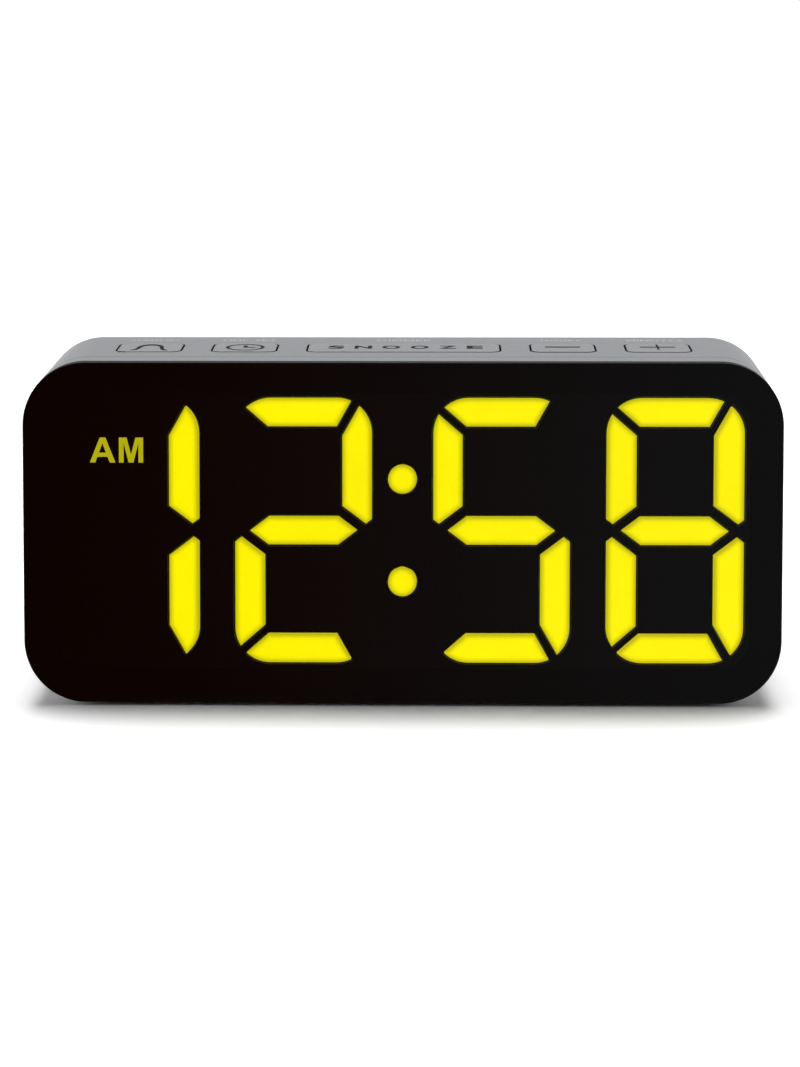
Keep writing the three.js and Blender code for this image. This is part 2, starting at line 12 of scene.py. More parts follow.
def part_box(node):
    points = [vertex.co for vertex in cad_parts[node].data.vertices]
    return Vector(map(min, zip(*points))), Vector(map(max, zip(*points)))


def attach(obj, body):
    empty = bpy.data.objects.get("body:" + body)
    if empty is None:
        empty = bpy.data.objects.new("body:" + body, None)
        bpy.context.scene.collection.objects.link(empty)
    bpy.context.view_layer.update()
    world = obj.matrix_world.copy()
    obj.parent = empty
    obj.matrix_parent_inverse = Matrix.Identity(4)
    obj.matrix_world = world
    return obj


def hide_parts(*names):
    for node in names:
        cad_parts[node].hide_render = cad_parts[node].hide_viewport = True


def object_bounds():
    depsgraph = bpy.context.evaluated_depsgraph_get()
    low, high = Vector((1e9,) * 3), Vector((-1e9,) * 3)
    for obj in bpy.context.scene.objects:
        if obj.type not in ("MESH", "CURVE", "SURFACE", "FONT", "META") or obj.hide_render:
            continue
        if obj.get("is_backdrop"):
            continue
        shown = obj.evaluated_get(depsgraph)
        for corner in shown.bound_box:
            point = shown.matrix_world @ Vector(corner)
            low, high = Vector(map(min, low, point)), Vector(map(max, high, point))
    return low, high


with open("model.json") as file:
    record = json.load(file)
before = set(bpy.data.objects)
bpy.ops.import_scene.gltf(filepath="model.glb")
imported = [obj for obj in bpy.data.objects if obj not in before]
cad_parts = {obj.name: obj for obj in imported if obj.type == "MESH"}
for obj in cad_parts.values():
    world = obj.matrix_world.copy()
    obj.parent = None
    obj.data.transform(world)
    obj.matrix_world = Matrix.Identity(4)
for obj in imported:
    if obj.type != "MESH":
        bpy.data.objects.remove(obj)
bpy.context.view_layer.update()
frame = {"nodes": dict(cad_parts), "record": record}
nodes = frame["nodes"]
MM = 0.001
KEYS = ("alarm", "time", "snooze", "minus", "plus")
ACROSS = Vector((1, 0, 0))
BACKWARD = Vector((0, 1, 0))

# ---- The display's own frame ------------------------------------------------------------


def box_middle(node):
    low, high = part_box(node)
    return (low + high) / 2


def facing_normal(node):
    """The normal of a node's largest face that looks to the front."""
    faces = [face for face in nodes[node].data.polygons if face.normal.y < -0.5]
    return max(faces, key=lambda face: face.area).normal.copy()


OUT = facing_normal("front_lens")
UP = OUT.cross(ACROSS).normalized()
if UP.z < 0:
    UP = -UP


def front_of(node):
    """How far out a node reaches, measured square to the lens."""
    return max(vert.co.dot(OUT) for vert in nodes[node].data.vertices)


LENS_FRONT = front_of("front_lens")


def on_display(point, depth=0.0):
    """A point moved square to the lens, to a depth behind the lens's face."""
    return point + OUT * (LENS_FRONT - depth - point.dot(OUT))


# ---- Meshes -----------------------------------------------------------------------------

WELD = 0.002 * MM  # corners nearer than this are one corner
FLAT_TURN = math.radians(0.4)  # facets that turn less are one flat face
EDGE_TURN = math.radians(28)  # edges that turn more are rounded
SHARP_TURN = math.radians(50)  # edges that turn more are shaded as sharp
STRAIGHT_TURN = math.radians(0.5)  # an outline's corner that turns less is left out


def body_of(node):
    for body, members in frame["record"]["behaviour"]["bodies"].items():
        if node in members:
            return body
    raise ValueError(node)


def make_object(name, mesh_data, materials, body):
    mesh = bpy.data.meshes.new(name)
    mesh_data.normal_update()
    mesh_data.to_mesh(mesh)
    mesh_data.free()
    for material in materials:
        mesh.materials.append(material)
    piece = bpy.data.objects.new(name, mesh)
    bpy.context.scene.collection.objects.link(piece)
    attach(piece, body)
    return piece


def even_normals(piece):
    """Flat faces stay flat beside their rounded edges."""
    piece.data.polygons.foreach_set("use_smooth", [True] * len(piece.data.polygons))
    piece.data.set_sharp_from_angle(angle=SHARP_TURN)
    modifier = piece.modifiers.new("even_normals", "WEIGHTED_NORMAL")
    modifier.keep_sharp = True


def welded(node):
    """The CAD node's solid with its facets joined and its flat areas whole."""
    solid = bmesh.new()
    solid.from_mesh(nodes[node].data)
    bmesh.ops.remove_doubles(solid, verts=solid.verts, dist=WELD)
    bmesh.ops.dissolve_degenerate(solid, dist=WELD / 2, edges=solid.edges)
    bmesh.ops.dissolve_limit(
        solid,
        angle_limit=FLAT_TURN,
        verts=solid.verts,
        edges=solid.edges,
        delimit={"NORMAL"},
    )
    return solid


def rebuilt(node, radius, materials, segments=2, paint=None, finish=None):
    """A new piece for a CAD node: the same solid with its edges rounded.

    paint gives each face the number of its material, and finish edits the solid after that."""
    solid = welded(node)
    edges = [edge for edge in solid.edges if edge.calc_face_angle(0.0) > EDGE_TURN]
    bmesh.ops.bevel(
        solid,
        geom=edges,
        offset=radius,
        offset_type="OFFSET",
        segments=segments,
        profile=0.5,
        affect="EDGES",
        clamp_overlap=True,
    )
    if paint is not None:
        for face in solid.faces:
            face.material_index = paint(face)
    if finish is not None:
        finish(solid)
    piece = make_object(f"{node}_finished", solid, materials, body_of(node))
    even_normals(piece)
    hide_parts(node)
    return piece


def front_outline(node):
    """The outline of a display node's front face, in order."""
    solid = bmesh.new()
    solid.from_mesh(nodes[node].data)
    bmesh.ops.remove_doubles(solid, verts=solid.verts, dist=WELD)
    front = {face for face in solid.faces if face.normal.dot(OUT) > 0.99}
    follow = {}
    for face in front:
        for loop in face.loops:
            others = [f for f in loop.edge.link_faces if f is not face]
            if not any(f in front for f in others):
                follow[loop.vert] = loop.link_loop_next.vert
    start = vert = next(iter(follow))
    points = []
    while True:
        points.append(vert.co.copy())
        vert = follow[vert]
        if vert is start:
            break
    solid.free()
    return points


def trimmed(points, least=0.04 * MM):
    """An outline without points that lie on top of one another or on a straight line."""
    kept = []
    for point in points:
        if not kept or (point - kept[-1]).length > least:
            kept.append(point)
    while (kept[0] - kept[-1]).length <= least:
        kept.pop()
    count = len(kept)
    turns = []
    for i, point in enumerate(kept):
        before = (point - kept[i - 1]).normalized()
        after = (kept[(i + 1) % count] - point).normalized()
        turns.append(before.angle(after))
    return [point for point, turn in zip(kept, turns) if turn > STRAIGHT_TURN]


def inside(points, distance):
    """A convex outline on the display moved in: clipped by each of its edges' moved lines."""
    result = list(points)
    count = len(points)
    middle = sum(points, Vector()) / count
    for i in range(count):
        start, end = points[i], points[(i + 1) % count]
        inward = OUT.cross(end - start).normalized()
        if inward.dot(middle - start) < 0:
            inward = -inward
        clipped = []
        for j, point in enumerate(result):
            following = result[(j + 1) % len(result)]
            here = (point - start).dot(inward) - distance
            there = (following - start).dot(inward) - distance
            if here >= 0:
                clipped.append(point)
            if here * there < 0:
                clipped.append(point.lerp(following, here / (here - there)))
        result = clipped
    return result


def new_loop(solid, points):
    """A closed ring of new corners and edges."""
    verts = [solid.verts.new(point) for point in points]
    edges = [solid.edges.new((vert, verts[(i + 1) % len(verts)])) for i, vert in enumerate(verts)]
    return verts, edges


def circle_points(middle, radius, upward, count=72):
    """Points round a circle that lies along ACROSS and another direction."""
    turns = [2 * math.pi * i / count for i in range(count)]
    return [middle + radius * (math.cos(turn) * ACROSS + math.sin(turn) * upward) for turn in turns]


# ---- Materials --------------------------------------------------------------------------


class Nodes:
    """A material with a Principled shader, and short ways to feed it."""

    def __init__(self, name):
        self.material = bpy.data.materials.new(name)
        self.material.use_nodes = True
        self.tree = self.material.node_tree
        self.shader = self.tree.nodes["Principled BSDF"]

    def add(self, kind, inputs=None, **settings):
        node = self.tree.nodes.new(kind)
        for key, value in settings.items():
            setattr(node, key, value)
        for key, value in (inputs or {}).items():
            if isinstance(value, bpy.types.NodeSocket):
                self.tree.links.new(value, node.inputs[key])
            else:
                node.inputs[key].default_value = value
        return node

    def set(self, **values):
        for key, value in values.items():
            self.shader.inputs[key.replace("_", " ")].default_value = value

    def feed(self, name, socket):
        self.tree.links.new(socket, self.shader.inputs[name])

    def place(self, scale=(1, 1, 1)):
        """Object coordinates, stretched where a pattern runs one way."""
        coordinates = self.add("ShaderNodeTexCoord").outputs["Object"]
        return self.add("ShaderNodeMapping", {"Vector": coordinates, "Scale": scale}).outputs["Vector"]

    def noise(self, scale, detail=3.0, roughness=0.5, stretch=(1, 1, 1)):
        inputs = {
            "Vector": self.place(stretch),
            "Scale": scale,
            "Detail": detail,
            "Roughness": roughness,
        }
        return self.add("ShaderNodeTexNoise", inputs).outputs["Fac"]

    def span(self, value, low, high, start=0.3, end=0.7):
        """A pattern's value moved to run from low to high."""
        inputs = {"Value": value, "From Min": start, "From Max": end, "To Min": low, "To Max": high}
        return self.add("ShaderNodeMapRange", inputs).outputs["Result"]

    def blend(self, factor, first, second):
        node = self.add("ShaderNodeMix", data_type="RGBA")
        self.tree.links.new(factor, node.inputs["Factor"])
        for socket, value in ((node.inputs[6], first), (node.inputs[7], second)):
            if isinstance(value, bpy.types.NodeSocket):
                self.tree.links.new(value, socket)
            else:
                socket.default_value = (*value, 1)
        return node.outputs[2]

    def bump(self, height, depth, strength=1.0):
        inputs = {"Height": height, "Distance": depth, "Strength": strength}
        self.feed("Normal", self.add("ShaderNodeBump", inputs).outputs["Normal"])


def shade(color, factor):
    return tuple(min(1.0, channel * factor) for channel in color)


def moulded_plastic(name, color, roughness, grain=4200, depth=0.006, metallic=0.0, shine=0.5):
    """Plastic with the fine grain of a spark-eroded mould, a faint unevenness and soft sheen."""
    made = Nodes(name)
    cloud = made.noise(38, detail=4)
    speck = made.noise(grain, detail=2)
    body = made.blend(made.span(cloud, 0, 1), shade(color, 0.97), shade(color, 1.03))
    flecked = made.blend(made.span(speck, 0, 0.5), body, shade(color, 1.12))
    made.feed("Base Color", flecked)
    worn = made.noise(900, detail=4, roughness=0.6)
    made.feed("Roughness", made.span(worn, roughness - 0.02, roughness + 0.03))
    made.set(Metallic=metallic, Specular_IOR_Level=shine)
    made.bump(speck, depth * MM, 0.6)
    return made.material


def sawn_black(name):
    """The lens's edge: black acrylic cut and left satin, with fine marks round its rim."""
    made = Nodes(name)
    marks = made.noise(1400, detail=4, stretch=(1, 1, 0.2))
    made.feed("Roughness", made.span(marks, 0.5, 0.7))
    made.feed("Base Color", made.blend(marks, (0.003, 0.003, 0.003), (0.007, 0.0065, 0.0065)))
    made.set(Specular_IOR_Level=0.08)
    made.bump(marks, 0.004 * MM, 0.5)
    return made.material


def screen_ink(name):
    """Black ink printed on the lens's back, seen through it, so without a shine of its own."""
    made = Nodes(name)
    cloud = made.noise(60, detail=4)
    made.feed("Roughness", made.span(cloud, 0.7, 0.85))
    color = made.blend(made.span(cloud, 0, 1), (0.003, 0.0026, 0.0026), (0.004, 0.0036, 0.0036))
    made.feed("Base Color", color)
    made.set(Specular_IOR_Level=0.0)
    return made.material


def smoked_acrylic(name):
    """Clear acrylic with a grey smoke tint and a faint haze."""
    made = Nodes(name)
    made.set(Transmission_Weight=1.0, IOR=1.49, Specular_IOR_Level=0.35)
    haze = made.noise(700, detail=3)
    made.feed("Roughness", made.span(haze, 0.0, 0.015))
    cloud = made.noise(30)
    made.feed("Base Color", made.blend(made.span(cloud, 0, 1), (0.195, 0.19, 0.19), (0.205, 0.2, 0.2)))
    return made.material


def lit_diffuser(name, edge, core, strength):
    """A milky diffuser lit from behind: dimmer towards its edges, brightest over its light."""
    made = Nodes(name)
    depth = made.add("ShaderNodeAttribute", attribute_name="core").outputs["Fac"]
    cloud = made.noise(260, detail=3)
    uneven = made.blend(made.span(cloud, 0, 1), shade(core, 0.97), core)
    glow = made.blend(depth, edge, uneven)
    made.feed("Emission Color", glow)
    made.set(Emission_Strength=strength)
    made.feed("Base Color", made.blend(depth, shade(edge, 0.3), shade(core, 0.4)))
    made.feed("Roughness", made.span(cloud, 0.4, 0.5))
    made.bump(made.noise(2500), 0.01 * MM, 0.3)
    return made.material


def unlit_diffuser(name):
    """A diffuser with its light off, almost as dark as the housing round it."""
    made = Nodes(name)
    cloud = made.noise(260, detail=3)
    made.feed("Base Color", made.blend(made.span(cloud, 0, 1), (0.003, 0.003, 0.002), (0.004, 0.004, 0.003)))
    made.feed("Roughness", made.span(cloud, 0.6, 0.7))
    made.set(Specular_IOR_Level=0.1)
    made.bump(made.noise(2500), 0.01 * MM, 0.3)
    return made.material


def plated_metal(name, color, roughness, along=(1, 1, 1)):
    """Nickel plate with drawn marks along one direction."""
    made = Nodes(name)
    made.set(Metallic=1.0)
    marks = made.noise(2600, detail=4, stretch=along)
    cloud = made.noise(300)
    made.feed("Base Color", made.blend(made.span(cloud, 0, 1), shade(color, 0.86), color))
    made.feed("Roughness", made.span(marks, roughness - 0.06, roughness + 0.1))
    made.bump(marks, 0.004 * MM, 0.5)
    return made.material


def circuit_board(name):
    """Green solder mask over copper tracks."""
    made = Nodes(name)
    brick = made.add(
        "ShaderNodeTexBrick",
        {
            "Vector": made.place(),
            "Scale": 260,
            "Mortar Size": 0.06,
            "Mortar Smooth": 0.2,
            "Brick Width": 0.9,
            "Row Height": 0.45,
        },
    ).outputs["Fac"]
    cloud = made.noise(90, detail=4)
    mask = made.blend(made.span(cloud, 0, 1), (0.008, 0.07, 0.025), (0.012, 0.1, 0.04))
    made.feed("Base Color", made.blend(brick, mask, (0.03, 0.19, 0.08)))
    made.feed("Roughness", made.span(made.noise(400), 0.28, 0.4))
    made.bump(brick, 0.03 * MM, 0.6)
    return made.material


def soft_rubber(name):
    """Black rubber, dusty in places."""
    made = Nodes(name)
    dust = made.noise(600, detail=6, roughness=0.7)
    made.feed("Base Color", made.blend(made.span(dust, 0, 1), (0.012, 0.012, 0.012), (0.035, 0.034, 0.033)))
    made.feed("Roughness", made.span(dust, 0.75, 0.9))
    made.bump(made.noise(3000, detail=4), 0.03 * MM, 0.7)
    return made.material


def ink(name, color, roughness):
    """Pad-printed ink, slightly thin in places."""
    made = Nodes(name)
    thin = made.noise(1500, detail=4, roughness=0.6)
    made.feed("Base Color", made.blend(made.span(thin, 0, 1), shade(color, 0.85), shade(color, 1.15)))
    made.feed("Roughness", made.span(thin, roughness - 0.05, roughness + 0.08))
    made.set(Specular_IOR_Level=0.02)
    made.bump(thin, 0.003 * MM, 0.4)
    return made.material


SILVER = (0.128, 0.132, 0.1415)
KEY_SILVER = shade(SILVER, 1.02)
MATTE_BLACK = (0.004, 0.0036, 0.0036)
YELLOW = (1.0, 0.925, 0.0)
YELLOW_EDGE = (0.54, 0.49, 0.004)
LETTER_YELLOW = (0.6, 0.56, 0.008)
LETTER_EDGE = (0.44, 0.41, 0.006)
GLOW_STRENGTH = 5.4  # seen through the lens's smoke tint

silver = moulded_plastic("silver_plastic", SILVER, 0.42, metallic=0.25)
key_silver = moulded_plastic("key_plastic", KEY_SILVER, 0.38, grain=5200, depth=0.004, metallic=0.25)
matte_black = moulded_plastic("matte_black_plastic", MATTE_BLACK, 0.7, grain=3000, depth=0.01, shine=0.1)
# black used as painted shade in the key gaps and as the painted shadow along the seam
painted_shade_black = moulded_plastic("painted_shade_plastic", (0.008, 0.008, 0.008), 0.6, shine=0.2)
switch_black = moulded_plastic("switch_plastic", (0.02, 0.02, 0.021), 0.4, grain=2600, depth=0.008)
inlet_black = moulded_plastic("inlet_plastic", (0.012, 0.012, 0.013), 0.35, grain=3600)
speaker_black = moulded_plastic("speaker_plastic", (0.018, 0.018, 0.02), 0.5, grain=1800, depth=0.02)
cable_plastic = moulded_plastic("cable_plastic", (0.5, 0.5, 0.46), 0.45, grain=2000, depth=0.01)
lens_clear = smoked_acrylic("smoked_acrylic")
lens_rim = sawn_black("lens_rim")
lens_ink = screen_ink("lens_back_ink")
lit = lit_diffuser("lit_segment", YELLOW_EDGE, YELLOW, GLOW_STRENGTH)
lit_small = lit_diffuser("lit_letters", LETTER_EDGE, LETTER_YELLOW, GLOW_STRENGTH)
unlit = unlit_diffuser("unlit_segment")
steel = plated_metal("nickel_plate", (0.62, 0.61, 0.58), 0.28, along=(1, 0.2, 1))
screw_steel = plated_metal("screw_steel", (0.5, 0.5, 0.5), 0.34)
board_green = circuit_board("circuit_board")
rubber = soft_rubber("foot_rubber")
dark_ink = ink("dark_key_ink", (0.012, 0.012, 0.013), 0.6)
pale_ink = ink("pale_label_ink", (0.42, 0.435, 0.45), 0.5)

# ---- Shells -----------------------------------------------------------------------------

LENS_BORDER = 6.9 * MM  # printed black on the lens's back
EDGE_RADIUS = 0.12 * MM
DOOR_EDGE_RADIUS = 0.2 * MM
SHADE_BELOW_TOP = 0.16 * MM  # below a key's or an opening's top edge, faces are painted black as shade in the gap
# width of the painted shadow along the seam, behind the front frame's back edge
SEAM_SHADOW_WIDTH = 0.25 * MM
OPENING_SHADE_DEPTH = 3 * MM  # depth of the painted shade, black, on the walls of the key openings
OPENING_MARGIN = 1 * MM  # round the keys, within which a wall belongs to an opening

seam = front_of("rear_housing")
housing_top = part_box("rear_housing")[1].z
key_boxes = [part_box(f"{name}_key") for name in KEYS]
keys_low = [min(low[i] for low, _ in key_boxes) - OPENING_MARGIN for i in (0, 1)]
keys_high = [max(high[i] for _, high in key_boxes) + OPENING_MARGIN for i in (0, 1)]


def lens_paint(face):
    """Clear on the front and the back, black round the rim."""
    return 0 if abs(face.normal.dot(OUT)) > 0.999 else 1


def window_in_back(solid):
    """Splits the lens's back face into a black printed border and a clear window."""
    back = next(face for face in solid.faces if face.normal.dot(OUT) < -0.999)
    rim_verts = list(back.verts)
    window, window_edges = new_loop(solid, inside([vert.co for vert in rim_verts], LENS_BORDER))
    solid.faces.remove(back)
    rim = [
        solid.edges.get((vert, rim_verts[(i + 1) % len(rim_verts)]))
        for i, vert in enumerate(rim_verts)
    ]
    border = bmesh.ops.triangle_fill(solid, edges=rim + window_edges, use_beauty=True)["geom"]
    border = [item for item in border if isinstance(item, bmesh.types.BMFace)]
    for face in border:
        face.material_index = 2
    pane = solid.faces.new(window)
    pane.normal_update()
    for face in [*border, pane]:
        if face.normal.dot(OUT) > 0:
            face.normal_flip()


def key_gap_shade(top):
    """Painted shade: a key's sides below its top are black, as the shade in the gap round the key; the top
    stays silver.
    """
    return lambda face: 1 if face.calc_center_median().z < top - SHADE_BELOW_TOP else 0


def opening_shade_paint(face):
    """Silver outside; painted shade, black, on the walls of the key openings."""
    middle = face.calc_center_median()
    if abs(face.normal.z) > 0.3:
        return 0
    if not housing_top - OPENING_SHADE_DEPTH < middle.z < housing_top - SHADE_BELOW_TOP:
        return 0
    return 1 if all(low < at < high for at, low, high in zip(middle, keys_low, keys_high)) else 0


def seam_shadow(solid):
    """Paints a narrow band of the housing's edge against the front frame black: a painted shadow of the gap
    at the seam.
    """
    everything = [*solid.verts, *solid.edges, *solid.faces]
    line = OUT * (seam - SEAM_SHADOW_WIDTH)
    bmesh.ops.bisect_plane(solid, geom=everything, plane_co=line, plane_no=OUT)
    for face in solid.faces:
        if face.calc_center_median().dot(OUT) > seam - SEAM_SHADOW_WIDTH:
            face.material_index = 1


rebuilt(
    "front_lens",
    EDGE_RADIUS,
    [lens_clear, lens_rim, lens_ink],
    paint=lens_paint,
    finish=window_in_back,
)
rebuilt("front_frame", EDGE_RADIUS, [silver])
rebuilt("rear_housing", EDGE_RADIUS, [silver, painted_shade_black], paint=opening_shade_paint, finish=seam_shadow)
rebuilt("battery_door", DOOR_EDGE_RADIUS, [silver])
for name in KEYS:
    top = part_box(f"{name}_key")[1].z
    rebuilt(f"{name}_key", EDGE_RADIUS, [key_silver, painted_shade_black], paint=key_gap_shade(top))

# ---- Lit display ------------------------------------------------------------------------

GLOW_INSET = 0.12 * MM  # the light stops this far inside the diffuser's edge
RINGS = (  # how far in, and how lit there
    (0, 0.0),
    (0.2 * MM, 0.03),
    (0.6 * MM, 0.5),
    (1.0 * MM, 0.85),
    (1.4 * MM, 1.0),
)


def lit_piece(name, points, thickness, materials, body):
    """A diffuser whose front face carries the attribute core, from 0 at its edge to 1 inside."""
    solid = bmesh.new()
    core = solid.verts.layers.float.new("core")
    outer = None
    for inset, level in RINGS:
        ring = trimmed(inside(points, inset), 0.01 * MM) if inset else points
        verts, edges = new_loop(solid, ring)
        for vert in verts:
            vert[core] = level
        if outer:
            bmesh.ops.triangle_fill(solid, edges=outer + edges, use_beauty=True)
        else:
            rim = verts
        outer = edges
    solid.faces.new(verts)
    back = [solid.verts.new(v.co - OUT * thickness) for v in rim]
    solid.faces.new(back)
    for i, vert in enumerate(rim):
        j = (i + 1) % len(rim)
        solid.faces.new([vert, rim[j], back[j], back[i]])
    bmesh.ops.recalc_face_normals(solid, faces=solid.faces)
    return make_object(name, solid, materials, body)


for part in frame["record"]["subparts"]:
    node = part["node"]
    if part["material_slot"] != "segment_lit" or node == "am_indicator":
        continue
    thickness = front_of(node) - min(vert.co.dot(OUT) for vert in nodes[node].data.vertices)
    points = front_outline(node)
    if node.startswith("colon"):
        low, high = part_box(node)
        middle = sum(points, Vector()) / len(points)
        points = circle_points(middle, (high.x - low.x) / 2, UP)
    else:
        points = trimmed(points)
    piece = lit_piece(f"{node}_glow", inside(points, GLOW_INSET), thickness, [lit], body_of(node))
    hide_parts(node)

# ---- AM light: bold letters in front of its diffuser --------------------------------------

LETTER_UNIT = 0.975 * MM  # of the outlines below
LETTER_HEIGHT = 5.6
LETTER_GAP = 0.82
A_WIDTH = 5.72
A_OUTLINE = (
    (0, 0),
    (1.21, 0),
    (1.68, 1.27),
    (3.98, 1.27),
    (4.47, 0),
    (A_WIDTH, 0),
    (3.48, LETTER_HEIGHT),
    (2.25, LETTER_HEIGHT),
)
A_HOLE = ((2.05, 2.21), (3.61, 2.21), (2.83, 4.29))
M_WIDTH = 5.41
M_STEM = 1.05
M_OUTLINE = (
    (0, 0),
    (0, LETTER_HEIGHT),
    (1.7, LETTER_HEIGHT),
    (2.71, 1.78),
    (3.71, LETTER_HEIGHT),
    (M_WIDTH, LETTER_HEIGHT),
    (M_WIDTH, 0),
    (M_WIDTH - M_STEM, 0),
    (M_WIDTH - M_STEM, 4.41),
    (3.24, 0),
    (2.16, 0),
    (M_STEM, 4.41),
    (M_STEM, 0),
)
LETTER_RIM = 0.3 * MM  # dimmer than the letter's middle
LETTER_THICKNESS = 0.15 * MM
LETTER_LIFT = 0.16 * MM  # of the letters' faces off their diffuser


def am_letters():
    """The two letters, flat, with a dimmer rim: each ring of points is filled as one shape."""
    depth = LENS_FRONT - front_of("am_indicator") - LETTER_LIFT
    width = A_WIDTH + LETTER_GAP + M_WIDTH
    corner = on_display(box_middle("am_indicator"), depth)
    corner -= (ACROSS * width / 2 + UP * LETTER_HEIGHT / 2) * LETTER_UNIT
    solid = bmesh.new()
    for offset, rings in ((0, (A_OUTLINE, A_HOLE)), (A_WIDTH + LETTER_GAP, (M_OUTLINE,))):
        edges = []
        for ring in rings:
            points = [corner + LETTER_UNIT * (ACROSS * (x + offset) + UP * y) for x, y in ring]
            edges += new_loop(solid, points)[1]
        bmesh.ops.triangle_fill(solid, edges=edges, use_beauty=True, use_dissolve=True)
    bmesh.ops.recalc_face_normals(solid, faces=solid.faces)
    if sum(face.normal.dot(OUT) for face in solid.faces) < 0:
        bmesh.ops.reverse_faces(solid, faces=solid.faces)
    core = solid.verts.layers.float.new("core")
    bmesh.ops.inset_region(solid, faces=solid.faces, thickness=LETTER_RIM, use_even_offset=True)
    boundary = {vert for edge in solid.edges if edge.is_boundary for vert in edge.verts}
    for vert in solid.verts:
        vert[core] = 0.0 if vert in boundary else 1.0
    piece = make_object("am_letters", solid, [lit_small], "case")
    modifier = piece.modifiers.new("thickness", "SOLIDIFY")
    modifier.thickness = LETTER_THICKNESS
    modifier.offset = -1


am_letters()

# ---- Prints on the top ------------------------------------------------------------------

INK_LIFT = 0.012 * MM  # of a print's face off the plastic
ICON_SETBACK = 0.95 * MM  # icons lie slightly behind the middle of their keys
CLOCK_SETBACK = 0.2 * MM
ICON_HALF = 3.95 * MM
CLOCK_STROKE = 0.8 * MM
HAND_STROKE = 0.9 * MM
HOUR_HAND = Vector((2.3, -0.4, 0)) * MM
MINUTE_HAND = Vector((0, 2.4, 0)) * MM
MINUS_STROKE = 1.4 * MM
PLUS_STROKE = 1.2 * MM
PLUS_UPRIGHT_STROKE = 0.5 * MM
PLUS_UPRIGHT_HALF = 3.6 * MM
DOTS_IN = (1.7 * MM, 2.7 * MM)  # from the alarm key's left side
DOTS_BACK = 0.75 * MM  # from its front
DOT_RADIUS = 0.36 * MM
BELL = (  # half of its outline from the rim to the top, and the stroke's width there
    (4.1, -4.9, 0.7),
    (3.5, -4.6, 0.9),
    (3.0, -3.9, 0.9),
    (2.7, -2.7, 0.85),
    (2.55, -1.2, 0.9),
    (2.35, 0.2, 1.0),
    (1.85, 1.4, 1.2),
    (1.1, 2.2, 1.5),
    (0.4, 2.5, 1.7),
)


def behind(key, setback, height):
    """A point behind the middle of a key, at a height."""
    low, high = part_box(key)
    return Vector(((low.x + high.x) / 2, (low.y + high.y) / 2 + setback, height))


def ribbon(solid, points, widths, closed=False):
    """A flat stroke along points at one height; one width for all of it, or one for each point."""
    count = len(points)
    if isinstance(widths, float):
        widths = [widths] * count
    left, right = [], []
    for i, point in enumerate(points):
        before = points[i - 1] if closed or i > 0 else None
        after = points[(i + 1) % count] if closed or i < count - 1 else None
        first = (point - before).normalized() if before is not None else (after - point).normalized()
        second = (after - point).normalized() if after is not None else first
        tangent = (first + second).normalized()
        normal = Vector((-tangent.y, tangent.x, 0))
        side = Vector((-first.y, first.x, 0))
        reach = widths[i] / 2 / max(0.4, normal.dot(side))
        left.append(solid.verts.new(point + normal * reach))
        right.append(solid.verts.new(point - normal * reach))
    for i in range(count if closed else count - 1):
        j = (i + 1) % count
        solid.faces.new([left[i], right[i], right[j], left[j]])


def top_print(name, key, draw, setback=ICON_SETBACK):
    """A print on a key's top, drawn about the middle of the key."""
    solid = bmesh.new()
    draw(solid, behind(key, setback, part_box(key)[1].z + INK_LIFT))
    solid.normal_update()
    for face in solid.faces:
        if face.normal.z < 0:
            face.normal_flip()
    piece = make_object(name, solid, [dark_ink], body_of(key))


def draw_bell(solid, middle):
    outline = [(-x, y, width) for x, y, width in BELL] + list(reversed(BELL))
    points = [middle + Vector((x, y, 0)) * MM for x, y, _ in outline]
    ribbon(solid, points, [width * MM for _, _, width in outline])


def draw_clock(solid, middle):
    ribbon(solid, circle_points(middle, ICON_HALF, BACKWARD), CLOCK_STROKE, closed=True)
    ribbon(solid, [middle + MINUTE_HAND, middle, middle + HOUR_HAND], HAND_STROKE)


def draw_minus(solid, middle, width=MINUS_STROKE):
    ribbon(solid, [middle - ACROSS * ICON_HALF, middle + ACROSS * ICON_HALF], width)


def draw_plus(solid, middle):
    draw_minus(solid, middle, PLUS_STROKE)
    half = BACKWARD * PLUS_UPRIGHT_HALF
    gap = BACKWARD * PLUS_STROKE / 2
    ribbon(solid, [middle + gap, middle + half], PLUS_UPRIGHT_STROKE)
    ribbon(solid, [middle - half, middle - gap], PLUS_UPRIGHT_STROKE)


def draw_dots(solid, middle):
    low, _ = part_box("alarm_key")
    for across in DOTS_IN:
        dot = Vector((low.x + across, low.y + DOTS_BACK, middle.z))
        solid.faces.new([solid.verts.new(point) for point in circle_points(dot, DOT_RADIUS, BACKWARD, 16)])


top_print("bell_print", "alarm_key", draw_bell)
top_print("alarm_dots_print", "alarm_key", draw_dots)
top_print("clock_print", "time_key", draw_clock, setback=CLOCK_SETBACK)
top_print("minus_print", "minus_key", draw_minus)
top_print("plus_print", "plus_key", draw_plus)

CAP_SHARE = 0.729  # a capital's height in the built-in font, as a share of its size
LETTER_SPACE = 0.4  # a space's width, as a share of a capital's height


def capital(name, letter, height, bold):
    """A flat letter that starts at x = 0, and its width."""
    curve = bpy.data.curves.new(name, "FONT")
    curve.body = letter
    curve.size = height / CAP_SHARE
    curve.resolution_u = 4
    curve.offset = bold
    holder = bpy.data.objects.new(name, curve)
    mesh = holder.to_mesh()
    across = [vert.co.x for vert in mesh.vertices]
    outline = bmesh.new()
    outline.from_mesh(mesh)
    outline.transform(Matrix.Translation((-min(across), 0, 0)))
    holder.to_mesh_clear()
    bpy.data.objects.remove(holder)
    bpy.data.curves.remove(curve)
    return outline, max(across) - min(across)


def add_mesh(joined, part):
    """Moves one mesh's faces into another."""
    mesh = bpy.data.meshes.new("part")
    part.to_mesh(mesh)
    part.free()
    joined.from_mesh(mesh)
    bpy.data.meshes.remove(mesh)


